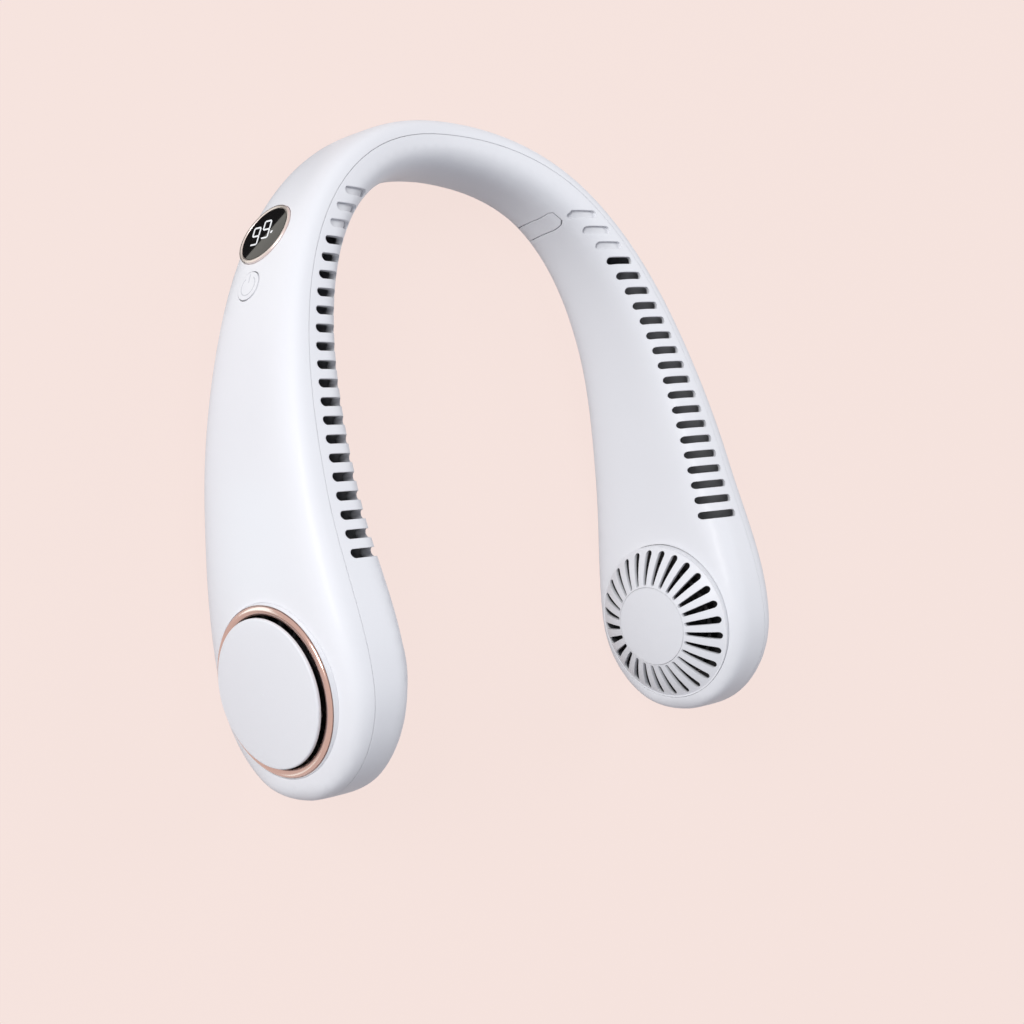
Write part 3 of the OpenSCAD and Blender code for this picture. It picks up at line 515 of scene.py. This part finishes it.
def housing_white():
    """Satin white with painted shade: darker towards the bottom of openings by the depth that a piece's
    corners carry.
    """
    name = "Housing white"
    if name in bpy.data.materials:
        return bpy.data.materials[name]
    white = settings("finish").white
    material = moulded(name, white, toned(white, 0.985), roughness=0.52, unevenness=0.06,
                       grain=1400.0, depth=0.004 * MM, coat=0.04)
    nodes, link = material.node_tree.nodes, material.node_tree.links.new
    shader = nodes["Principled BSDF"]
    surface = shader.inputs["Base Color"].links[0].from_socket
    deep = nodes.new("ShaderNodeAttribute")
    deep.attribute_name = "depth"
    fall = nodes.new("ShaderNodeMath")
    fall.operation = "POWER"
    fall.inputs[1].default_value = DEPTH_POWER
    link(deep.outputs["Fac"], fall.inputs[0])
    # painted shade: mixes the white towards the painted depth shade as the depth grows
    shade = nodes.new("ShaderNodeMix")
    shade.data_type = "RGBA"
    shade.inputs["B"].default_value = (*settings("finish").painted_depth_shade, 1)
    link(fall.outputs[0], shade.inputs["Factor"])
    link(surface, shade.inputs["A"])
    link(shade.outputs["Result"], shader.inputs["Base Color"])
    return material


# painted shade: the inner faces of the white casings get this grey in place of their white
def painted_inside_shade():
    return moulded("Painted inside shade", settings("finish").shade_grey_inside, roughness=0.7, edge=False)


def trim(name, color, roughness):
    """Metal trim with a very fine grain."""
    return moulded(name, color, toned(color, 0.93), roughness=roughness, unevenness=0.08,
                   grain=2600.0, depth=0.002 * MM, metallic=1.0)


def rose_gold():
    return trim("Rose gold trim", settings("finish").rose_gold, 0.15)


def pale_trim():
    return trim("Pale trim", settings("finish").pale_trim, 0.3)


def black_plastic():
    return moulded("Black plastic", (0.012, 0.012, 0.014), (0.02, 0.02, 0.022), roughness=0.5,
                   grain=1800.0, depth=0.01 * MM)


def plain_finishes():
    """Finishes of the pieces inside the housing, by the record's slot."""
    plain = functools.partial(moulded, edge=False)
    metal = functools.partial(plain, metallic=1.0)
    return {
        "magnet": metal("Magnet", (0.12, 0.12, 0.13), roughness=0.35),
        "steel": metal("Bright steel", (0.55, 0.56, 0.58), roughness=0.28),
        "sintered_bronze": metal("Sintered bronze", (0.42, 0.26, 0.1), roughness=0.5),
        "core_steel": metal("Laminated steel", (0.2, 0.2, 0.21), roughness=0.45),
        "copper_wire": plain("Enamelled copper", (0.5, 0.16, 0.05), roughness=0.3, metallic=0.8,
                             grain=3500.0, depth=0.05 * MM),
        "cell_wrap": plain("Cell wrap", (0.05, 0.16, 0.35), roughness=0.35),
        "board_green": plain("Board lacquer", (0.01, 0.11, 0.05), (0.02, 0.16, 0.08), roughness=0.4),
    }


def display_glass():
    return moulded("Display glass", (0.011, 0.01, 0.01), (0.014, 0.013, 0.013), roughness=0.04,
                   unevenness=0.02, depth=0.0005 * MM)


def lit_figures():
    """Figures that glow a little unevenly."""
    glow = settings("finish").figures
    material = moulded("Lit figures", (0.02, 0.02, 0.02), edge=False)
    nodes, link = material.node_tree.nodes, material.node_tree.links.new
    shader = nodes["Principled BSDF"]
    light = nodes.new("ShaderNodeGroup")
    light.node_tree = moulded_group()
    light.inputs["Color"].default_value = (*glow, 1)
    light.inputs["Tint"].default_value = (*toned(glow, 0.85), 1)
    link(light.outputs["Color"], shader.inputs["Emission Color"])
    shader.inputs["Emission Strength"].default_value = 1.0
    return material


# Operators

class NECKFAN_OT_stage(bpy.types.Operator):
    """Camera at the photograph's angle, pale floor, soft lights"""

    bl_idname = "neckfan.stage"
    bl_label = "Stage"

    sensor_w = 36
    sight_near = 0.01
    sight_far = 20
    floor_r = 4
    floor_drop = 0.2 * MM
    paper_tone = (0.5, 0.47, 0.47)
    paper_glow = 1.05
    glow_share = 0.9
    # in millimetres, as the places of the cards
    card_drop = 0.1
    sky = (0.82, 0.87, 1.0)
    sky_strength = 0.34
    lit_point = Vector((0, 0, 0.03))

    def execute(self, context):
        self.camera(context)
        self.floor(context)
        self.cards(context)
        self.world(context)
        for name, place, size, power in LAMPS:
            self.softbox(context, name, Vector(place), size, power)
        context.scene.view_settings.view_transform = "Standard"
        return {"FINISHED"}

    def camera(self, context):
        stage = settings("stage")
        back = Vector(stage.sight).normalized()
        right = Vector(stage.upright).cross(back).normalized()
        up = back.cross(right)
        data = bpy.data.cameras.new("Camera")
        data.lens = stage.lens
        data.sensor_width = self.sensor_w
        data.clip_start = self.sight_near
        data.clip_end = self.sight_far
        camera = bpy.data.objects.new("Camera", data)
        context.scene.collection.objects.link(camera)
        turn = Matrix((right, up, back)).transposed().to_4x4()
        camera.matrix_world = Matrix.Translation(stage.eye) @ turn
        context.scene.camera = camera

    def floor(self, context):
        bm = bmesh.new()
        bmesh.ops.create_circle(bm, cap_ends=True, radius=self.floor_r, segments=96,
                                matrix=Matrix.Translation((0, 0, -self.floor_drop)))
        mesh = bpy.data.meshes.new("Floor")
        bm.to_mesh(mesh)
        bm.free()
        floor = bpy.data.objects.new("Floor", mesh)
        context.scene.collection.objects.link(floor)
        mesh.materials.append(self.paper())

    def paper(self):
        """Matt paper that keeps a little of the object's shadow."""
        material = bpy.data.materials.new("Studio paper")
        material.use_nodes = True
        nodes, link = material.node_tree.nodes, material.node_tree.links.new
        shader = nodes["Principled BSDF"]
        shader.inputs["Base Color"].default_value = (*self.paper_tone, 1)
        shader.inputs["Roughness"].default_value = 0.9
        shader.inputs["Specular IOR Level"].default_value = 0.0
        glow = nodes.new("ShaderNodeEmission")
        glow.inputs["Color"].default_value = (*settings("stage").backdrop, 1)
        glow.inputs["Strength"].default_value = self.paper_glow
        seen = self.seen_directly(nodes, link)
        share = nodes.new("ShaderNodeMath")
        share.operation = "MULTIPLY"
        share.inputs[1].default_value = self.glow_share
        link(seen, share.inputs[0])
        blend = nodes.new("ShaderNodeMixShader")
        link(share.outputs[0], blend.inputs["Fac"])
        link(shader.outputs["BSDF"], blend.inputs[1])
        link(glow.outputs["Emission"], blend.inputs[2])
        link(blend.outputs["Shader"], nodes["Material Output"].inputs["Surface"])
        return material

    def seen_directly(self, nodes, link):
        """1 for camera, glossy and transmission rays."""
        path = nodes.new("ShaderNodeLightPath")
        total = path.outputs["Is Camera Ray"]
        for name in ("Is Glossy Ray", "Is Transmission Ray"):
            either = nodes.new("ShaderNodeMath")
            either.operation = "MAXIMUM"
            link(total, either.inputs[0])
            link(path.outputs[name], either.inputs[1])
            total = either.outputs[0]
        return total

    def cards(self, context):
        """Cards on the floor that are seen in reflections only, as the cards in a photographer's studio."""
        for name, middle, turn, size, tone in CARDS:
            bm = bmesh.new()
            place = (Matrix.Translation(Vector((*middle, -self.card_drop)) * MM)
                     @ Matrix.Rotation(math.radians(turn), 4, "Z")
                     @ Matrix.Diagonal((size[0] * MM, size[1] * MM, 1, 1)))
            bmesh.ops.create_grid(bm, x_segments=1, y_segments=1, size=0.5, matrix=place)
            mesh = bpy.data.meshes.new(name)
            bm.to_mesh(mesh)
            bm.free()
            card = bpy.data.objects.new(name, mesh)
            context.scene.collection.objects.link(card)
            material = bpy.data.materials.new(name)
            material.use_nodes = True
            nodes, link = material.node_tree.nodes, material.node_tree.links.new
            glow = nodes.new("ShaderNodeEmission")
            glow.inputs["Color"].default_value = (*tone, 1)
            link(glow.outputs["Emission"], nodes["Material Output"].inputs["Surface"])
            mesh.materials.append(material)
            card.visible_camera = card.visible_diffuse = card.visible_shadow = False

    def world(self, context):
        world = bpy.data.worlds.new("Studio")
        world.use_nodes = True
        context.scene.world = world
        nodes, link = world.node_tree.nodes, world.node_tree.links.new
        light = nodes["Background"]
        light.inputs["Color"].default_value = (*self.sky, 1)
        light.inputs["Strength"].default_value = self.sky_strength
        backdrop = nodes.new("ShaderNodeBackground")
        backdrop.inputs["Color"].default_value = (*settings("stage").backdrop, 1)
        blend = nodes.new("ShaderNodeMixShader")
        link(self.seen_directly(nodes, link), blend.inputs["Fac"])
        link(light.outputs["Background"], blend.inputs[1])
        link(backdrop.outputs["Background"], blend.inputs[2])
        link(blend.outputs["Shader"], nodes["World Output"].inputs["Surface"])

    def softbox(self, context, name, place, size, power):
        data = bpy.data.lights.new(name, "AREA")
        data.shape = "DISK"
        data.size = size
        data.energy = power
        lamp = bpy.data.objects.new(name, data)
        context.scene.collection.objects.link(lamp)
        aim = (place - self.lit_point).to_track_quat("Z", "Y")
        lamp.matrix_world = Matrix.Translation(place) @ aim.to_matrix().to_4x4()


class NECKFAN_OT_casings(bpy.types.Operator):
    """Both halves of the housing, drawn onto the smooth swept form"""

    bl_idname = "neckfan.casings"
    bl_label = "Casings"

    long_edge = 3.2 * MM
    halvings = 2
    # the painted inside shade goes on faces deeper than this share of the wall that turn inwards by more than
    # this
    shaded_inner_share = 0.8
    inward_share = -0.3
    # faces of an opening's walls that meet at less than this share a normal
    bend = math.radians(40)

    def execute(self, context):
        for node in ("outer_casing", "inner_casing"):
            self.casing(node)
        return {"FINISHED"}

    def casing(self, node):
        form = swept_form()
        bm = merged_copy(node)
        bm.verts.layers.float.new("depth")
        for _ in range(self.halvings):
            skin = form.skin_faces(bm, form.near(bm))
            long = {e for f in skin for e in f.edges if e.calc_length() > self.long_edge}
            bmesh.ops.subdivide_edges(bm, edges=list(long), cuts=1)
            bmesh.ops.triangulate(bm, faces=[f for f in bm.faces if len(f.verts) > 3])
        near = form.near(bm)
        skin = form.skin_faces(bm, near)
        for v in {v for f in skin for v in f.verts}:
            v.co = near[v][0]
        bm.normal_update()
        self.shade_inner_faces(bm, near)
        self.set_normals(bm, near, skin)
        piece = new_piece(node + "_skin", bm, "housing", housing_white(), (node,))
        piece.data.materials.append(painted_inside_shade())

    def shade_inner_faces(self, bm, near):
        """Gives the faces inside the housing the painted grey shade, and writes how deep each corner lies,
        which the white's painted shade reads.
        """
        wall = settings("form").wall
        depth = bm.verts.layers.float["depth"]
        for v, (_, _, distance) in near.items():
            v[depth] = min(distance / wall, 1)
        for f in bm.faces:
            inward = f.normal.dot(near[f.verts[0]][1]) < self.inward_share
            deep = all(v[depth] > self.shaded_inner_share for v in f.verts)
            f.material_index = 1 if inward and deep else 0

    def set_normals(self, bm, near, skin):
        """The form's own normal on the skin, and a smooth one on the walls of openings."""
        least = math.cos(self.bend)
        kept = bm.loops.layers.float_vector[KEPT]
        for f in bm.faces:
            f.smooth = True
            for loop in f.loops:
                if f in skin:
                    loop[kept] = near[loop.vert][1]
                    continue
                total = Vector()
                for other in loop.vert.link_faces:
                    if other not in skin and other.normal.dot(f.normal) > least:
                        total += other.normal * other.calc_area()
                loop[kept] = total.normalized() if total.length > 0 else f.normal


class NECKFAN_OT_intakes(bpy.types.Operator):
    """Trim ring, cap and screen on the outer face of each disc"""

    bl_idname = "neckfan.intakes"
    bl_label = "Intakes"

    ring_in = 21.3 * MM
    ring_out = 23.8 * MM
    ring_foot = 0.4 * MM
    ring_crest = 0.65 * MM
    ring_depth = 3.6 * MM
    notch = 0.24 * MM
    notch_drop = 0.5 * MM
    collar_r = 24.42 * MM
    collar_drop = 0.1 * MM
    round_steps = 10

    def execute(self, context):
        for side, sign in SIDES.items():
            self.ring(f"intake_ring_{side}", sign)
            for node, slot, material in (("intake_cap", "housing_white", housing_white()),
                                         ("intake_screen", "screen_black", black_plastic())):
                node_skin(f"{node}_{side}", "housing", material)
        return {"FINISHED"}

    def ring(self, node, sign):
        """A rose gold band in a white collar, whose outer edge runs down onto the housing."""
        form = settings("form")
        house = Housing(form)
        place = (mirror_if_left(sign)
                 @ Matrix.Translation((house.half_span + form.disc_t / 2, house.disc_y, house.disc_r))
                 @ Matrix.Rotation(-form.face_tilt, 4, "Z") @ Matrix.Rotation(math.pi / 2, 4, "Y"))
        back = place.inverted()
        axis = (place @ Vector((0, 0, 1)) - place.translation).normalized()
        bm = lathe(self.ring_profile(), place)
        collar = set()
        for v in bm.verts:
            local = back @ v.co
            r = Vector(local.xy).length
            if r > self.ring_out + self.notch / 2:
                collar.add(v)
            if r > self.collar_r - self.notch and local.z > -self.ring_depth / 2:
                v.co = swept_form().tree.ray_cast(v.co + axis * self.ring_depth, -axis)[0]
        for face in bm.faces:
            face.material_index = 1 if all(v in collar for v in face.verts) else 0
        piece = new_piece(node + "_skin", bm, "housing", rose_gold(), (node,))
        piece.data.materials.append(housing_white())

    def ring_profile(self):
        """Collar, notch and a band with a rounded crest."""
        middle, half = (self.ring_out + self.ring_in) / 2, (self.ring_out - self.ring_in) / 2
        turns = [math.pi * i / self.round_steps for i in range(self.round_steps + 1)]
        crown = [(middle + half * math.cos(a), self.ring_foot + self.ring_crest * math.sin(a)) for a in turns]
        rim, floor = self.ring_out + self.notch, self.ring_foot - self.notch_drop
        return [(self.ring_in, -self.ring_depth), (self.collar_r, -self.ring_depth), (self.collar_r, 0),
                (rim, self.ring_foot - self.collar_drop), (rim, floor), (self.ring_out, floor), *crown]


class NECKFAN_OT_grilles(bpy.types.Operator):
    """Slotted domes and their hub caps on the neck side"""

    bl_idname = "neckfan.grilles"
    bl_label = "Grilles"

    front_share = 0.6

    def execute(self, context):
        for side, sign in SIDES.items():
            node_skin(f"grille_hub_cap_{side}", "housing", housing_white())
            bm = merged_copy(f"grille_{side}")
            self.write_depth(bm, Vector((-sign, 0, 0)))
            new_piece(f"grille_{side}_skin", bm, "housing", housing_white(),
                      (f"grille_{side}",))
        return {"FINISHED"}

    def write_depth(self, bm, outward):
        """Depth 0 for the corners of the front, 1 for those behind it, so that the white's painted shade
        darkens the slots inwards.
        """
        depth = bm.verts.layers.float.new("depth")
        bm.normal_update()
        for v in bm.verts:
            in_front = any(f.normal.dot(outward) > self.front_share for f in v.link_faces)
            v[depth] = 0 if in_front else 1


class NECKFAN_OT_inside(bpy.types.Operator):
    """Finishes of blowers, boards, cells and socket"""

    bl_idname = "neckfan.inside"
    bl_label = "Inside"

    def execute(self, context):
        finishes = plain_finishes()
        finishes["black_plastic"] = black_plastic()
        finishes["housing_white"] = housing_white()
        for row in frame["record"]["subparts"]:
            if row["material_slot"] in finishes:
                dress(row["node"], finishes[row["material_slot"]])
        return {"FINISHED"}


class NECKFAN_OT_display(bpy.types.Operator):
    """Black window with lit figures in a thin trim ring"""

    bl_idname = "neckfan.display"
    bl_label = "Display"

    display_at = 79.3 * MM
    display_turn = -1.8
    ring_r = 10.15 * MM
    window_r = 8.95 * MM
    ring_depth = 1.2 * MM
    window_depth = 0.9 * MM
    window_top = 0.2 * MM
    lip = 0.12 * MM
    crest = 0.34 * MM
    round_steps = 8

    def execute(self, context):
        house = Housing(settings("form"))
        place = mirror_if_left(-1) @ house.patch_frame(self.display_at, self.display_turn)
        new_piece("display_bezel_skin", lathe(self.ring_profile(), place), "housing",
                  pale_trim(), ("display_bezel",))
        new_piece("display_window_skin", lathe(self.window_profile(), place), "housing",
                  display_glass(), ("display_window",))
        dress("display_digits", lit_figures())
        return {"FINISHED"}

    def ring_profile(self):
        """A thin band with a rounded crest."""
        middle, half = (self.ring_r + self.window_r) / 2, (self.ring_r - self.window_r) / 2
        turns = [math.pi * i / self.round_steps for i in range(self.round_steps + 1)]
        crown = [(middle + half * math.cos(a), self.crest * math.sin(a)) for a in turns]
        return [(self.window_r, -self.ring_depth), (self.ring_r, -self.ring_depth), *crown]

    def window_profile(self):
        """A flat window with a narrow rounded edge."""
        turns = [math.pi / 2 * i / self.round_steps for i in range(self.round_steps + 1)]
        edge = [(self.window_r - self.lip * (1 - math.cos(a)), self.window_top - self.lip * (1 - math.sin(a)))
                for a in turns]
        return [(0, -self.window_depth), (self.window_r, -self.window_depth), *edge, (0, self.window_top)]


class NECKFAN_OT_button(bpy.types.Operator):
    """Power button with its printed symbol"""

    bl_idname = "neckfan.button"
    bl_label = "Power button"

    button_at = 95.5 * MM
    button_turn = -1.9
    proud = 0.15 * MM
    mark_r = 2.95 * MM
    mark_w = 0.4 * MM
    mark_t = 0.03 * MM
    mark_steps = 48
    opening = math.radians(70)
    bar_at_share = 0.8
    bar_len_share = 0.9

    def execute(self, context):
        cap = merged_copy("power_button")
        swept_form().keep_normals(cap)
        new_piece("power_button_skin", cap, "power_button", housing_white(),
                  ("power_button",))
        self.mark()
        return {"FINISHED"}

    def mark(self):
        """The printed symbol: a ring with an opening, and a bar in the opening."""
        house = Housing(settings("form"))
        place = mirror_if_left(-1) @ house.patch_frame(self.button_at, self.button_turn)
        grey = moulded("Printed mark", settings("finish").mark_grey, roughness=0.5, edge=False)
        bm = bmesh.new()
        low, high = self.proud - self.mark_t, self.proud + self.mark_t
        corners = [(self.mark_r - self.mark_w / 2, low), (self.mark_r + self.mark_w / 2, low),
                   (self.mark_r + self.mark_w / 2, high), (self.mark_r - self.mark_w / 2, high)]
        start = Matrix.Rotation(math.pi + self.opening / 2, 4, "Z")
        face = bm.faces.new([bm.verts.new(start @ Vector((r, 0, z))) for r, z in corners])
        bmesh.ops.spin(bm, geom=[face], cent=(0, 0, 0), axis=(0, 0, 1),
                       angle=math.tau - self.opening, steps=self.mark_steps, use_duplicate=False)
        bar = (Matrix.Translation((-self.mark_r * self.bar_at_share, 0, self.proud))
               @ Matrix.Diagonal((self.mark_r * self.bar_len_share, self.mark_w, 2 * self.mark_t, 1)))
        bmesh.ops.create_cube(bm, size=1, matrix=bar)
        bmesh.ops.transform(bm, matrix=place, verts=bm.verts)
        bmesh.ops.recalc_face_normals(bm, faces=bm.faces)
        new_piece("power_mark", bm, "power_button", grey)


class NECKFAN_OT_port(bpy.types.Operator):
    """Flap over the charging socket"""

    bl_idname = "neckfan.port"
    bl_label = "Charging port"

    def execute(self, context):
        flap = merged_copy("port_flap")
        swept_form().keep_normals(flap)
        new_piece("port_flap_skin", flap, "port_flap", housing_white(), ("port_flap",))
        return {"FINISHED"}


OPERATORS = (NECKFAN_OT_stage, NECKFAN_OT_casings, NECKFAN_OT_intakes, NECKFAN_OT_grilles,
             NECKFAN_OT_inside, NECKFAN_OT_display, NECKFAN_OT_button, NECKFAN_OT_port)


class NECKFAN_PT_panel(bpy.types.Panel):
    """Lists the steps that build the looks"""

    bl_idname = "NECKFAN_PT_panel"
    bl_label = "Neck fan"
    bl_space_type = "VIEW_3D"
    bl_region_type = "UI"
    bl_category = "Neck fan"

    def draw(self, context):
        for group in GROUPS:
            box = self.layout.box()
            for name in settings(group).bl_rna.properties.keys():
                if name not in ("rna_type", "name"):
                    box.prop(settings(group), name)
        for operator in OPERATORS:
            self.layout.operator(operator.bl_idname)


GROUPS = {"form": FormSettings, "finish": FinishSettings, "stage": StageSettings}
CLASSES = (*GROUPS.values(), *OPERATORS, NECKFAN_PT_panel)


def register():
    for cls in CLASSES:
        bpy.utils.register_class(cls)
    for name, cls in GROUPS.items():
        setattr(bpy.types.Scene, "neck_fan_" + name, bpy.props.PointerProperty(type=cls))


def unregister():
    for name in GROUPS:
        delattr(bpy.types.Scene, "neck_fan_" + name)
    for cls in reversed(CLASSES):
        bpy.utils.unregister_class(cls)


def main():
    register()
    for operator in OPERATORS:
        space, name = operator.bl_idname.split(".")
        getattr(getattr(bpy.ops, space), name)()


if __name__ == "__main__":
    main()
